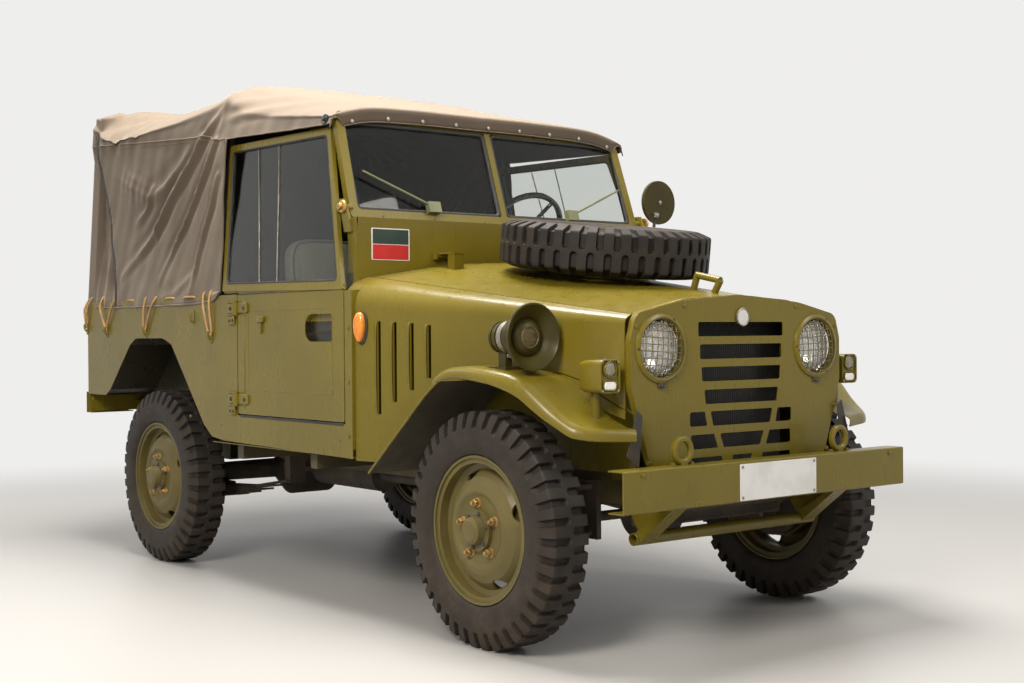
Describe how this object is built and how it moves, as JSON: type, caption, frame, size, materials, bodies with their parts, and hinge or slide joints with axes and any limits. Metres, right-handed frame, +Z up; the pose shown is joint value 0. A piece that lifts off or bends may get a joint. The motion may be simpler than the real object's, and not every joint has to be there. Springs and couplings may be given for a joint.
{
  "type": "army four-wheel-drive car",
  "caption": "Open-bodied army four-wheel-drive car with fabric top, hinged doors, bonnet and tailgate, steered front wheels, and a spare wheel on the bonnet.",
  "frame": {"origin": "on the ground under the middle of the car's length, on the centre plane", "axes": "+X forward, +Y to the driver's left, +Z up"},
  "size_m": [3.523, 1.626, 1.9788],
  "materials": {
    "army_paint": "semi-gloss olive green paint, worn at the edges",
    "wheel_paint": "olive green paint, dusty",
    "tyre_rubber": "matt black bar tread",
    "chassis_black": "dull black paint with rust and road dirt",
    "cast_parts": "oily cast surface",
    "clear_glass": "clear flat glass",
    "wiper_paint": "grey-green paint",
    "canvas_cloth": "brown khaki woven canvas",
    "seat_cover": "grey-green seat cloth",
    "lamp_glass": "ribbed lamp glass in painted housings",
    "mirror_back": "olive paint",
    "plate_white": "white sheet plate",
    "wheel_rim_plastic": "black moulded rim"
  },
  "bodies": {
    "car_body": {"front_bumper": "army_paint", "bumper_brace": "army_paint", "rear_bumpers": "army_paint", "tub": "army_paint", "cowl": "army_paint", "front_wings": "army_paint", "grille_panel": "army_paint", "windscreen_frame": "army_paint", "siren_horn": "army_paint", "chassis_frame": "chassis_black", "leaf_springs": "chassis_black", "exhaust": "chassis_black", "radiator": "chassis_black", "canopy_hoops": "chassis_black", "front_suspension": "chassis_black", "rear_axle": "chassis_black", "engine": "cast_parts", "transmission": "cast_parts", "windscreen_glass": "clear_glass", "wipers": "wiper_paint", "canopy": "canvas_cloth", "seats": "seat_cover", "headlamps": "lamp_glass", "small_lamps": "lamp_glass", "mirror": "mirror_back", "blank_plates": "plate_white"},
    "bonnet_lid": {"bonnet": "army_paint", "spare_wheel": "wheel_paint", "spare_tyre": "tyre_rubber"},
    "right_door": {"door_right": "army_paint", "door_right_glass": "clear_glass"},
    "left_door": {"door_left": "army_paint", "door_left_glass": "clear_glass"},
    "rear_gate": {"tailgate": "army_paint"},
    "right_knuckle": {"knuckle_right": "chassis_black"},
    "left_knuckle": {"knuckle_left": "chassis_black"},
    "road_wheel_front_right": {"wheel_front_right": "wheel_paint", "tyre_front_right": "tyre_rubber"},
    "road_wheel_front_left": {"wheel_front_left": "wheel_paint", "tyre_front_left": "tyre_rubber"},
    "road_wheel_rear_right": {"wheel_rear_right": "wheel_paint", "tyre_rear_right": "tyre_rubber"},
    "road_wheel_rear_left": {"wheel_rear_left": "wheel_paint", "tyre_rear_left": "tyre_rubber"},
    "steering": {"steering_wheel": "wheel_rim_plastic"}
  },
  "joints": [
    {"name": "bonnet_hinge", "type": "hinge", "parent": "car_body", "child": "bonnet_lid", "pos_m": [0.541, 0, 1.212], "axis": [0, -1, 0], "range_deg": [0, 42]},
    {"name": "door_right_hinge", "type": "hinge", "parent": "car_body", "child": "right_door", "pos_m": [-0.22, -0.75, 0.87], "axis": [0, 0, -1], "range_deg": [0, 68]},
    {"name": "door_left_hinge", "type": "hinge", "parent": "car_body", "child": "left_door", "pos_m": [-0.22, 0.75, 0.87], "axis": [0, 0, 1], "range_deg": [0, 68]},
    {"name": "tailgate_hinge", "type": "hinge", "parent": "car_body", "child": "rear_gate", "pos_m": [-1.66, 0, 0.644], "axis": [0, -1, 0], "range_deg": [0, 90]},
    {"name": "steer_right", "type": "hinge", "parent": "car_body", "child": "right_knuckle", "pos_m": [1.227, -0.566, 0.355], "axis": [0, 0, 1], "range_deg": [-28, 28]},
    {"name": "steer_left", "type": "hinge", "parent": "car_body", "child": "left_knuckle", "pos_m": [1.227, 0.566, 0.355], "axis": [0, 0, 1], "range_deg": [-28, 28]},
    {"name": "wheel_spin_front_right", "type": "hinge", "parent": "right_knuckle", "child": "road_wheel_front_right", "pos_m": [1.227, -0.65, 0.355], "axis": [0, 1, 0], "continuous": true},
    {"name": "wheel_spin_front_left", "type": "hinge", "parent": "left_knuckle", "child": "road_wheel_front_left", "pos_m": [1.227, 0.65, 0.355], "axis": [0, 1, 0], "continuous": true},
    {"name": "wheel_spin_rear_right", "type": "hinge", "parent": "car_body", "child": "road_wheel_rear_right", "pos_m": [-0.973, -0.65, 0.355], "axis": [0, 1, 0], "continuous": true},
    {"name": "wheel_spin_rear_left", "type": "hinge", "parent": "car_body", "child": "road_wheel_rear_left", "pos_m": [-0.973, 0.65, 0.355], "axis": [0, 1, 0], "continuous": true},
    {"name": "steering_wheel_turn", "type": "hinge", "parent": "car_body", "child": "steering", "pos_m": [0.12, 0.35, 1.33], "axis": [-0.8192, 0, 0.5736], "range_deg": [-448, 448]}
  ],
  "couplings": [
    {"joint": "steer_left", "follows": "steer_right", "ratio": 1},
    {"joint": "steering_wheel_turn", "follows": "steer_right", "ratio": 16}
  ]
}
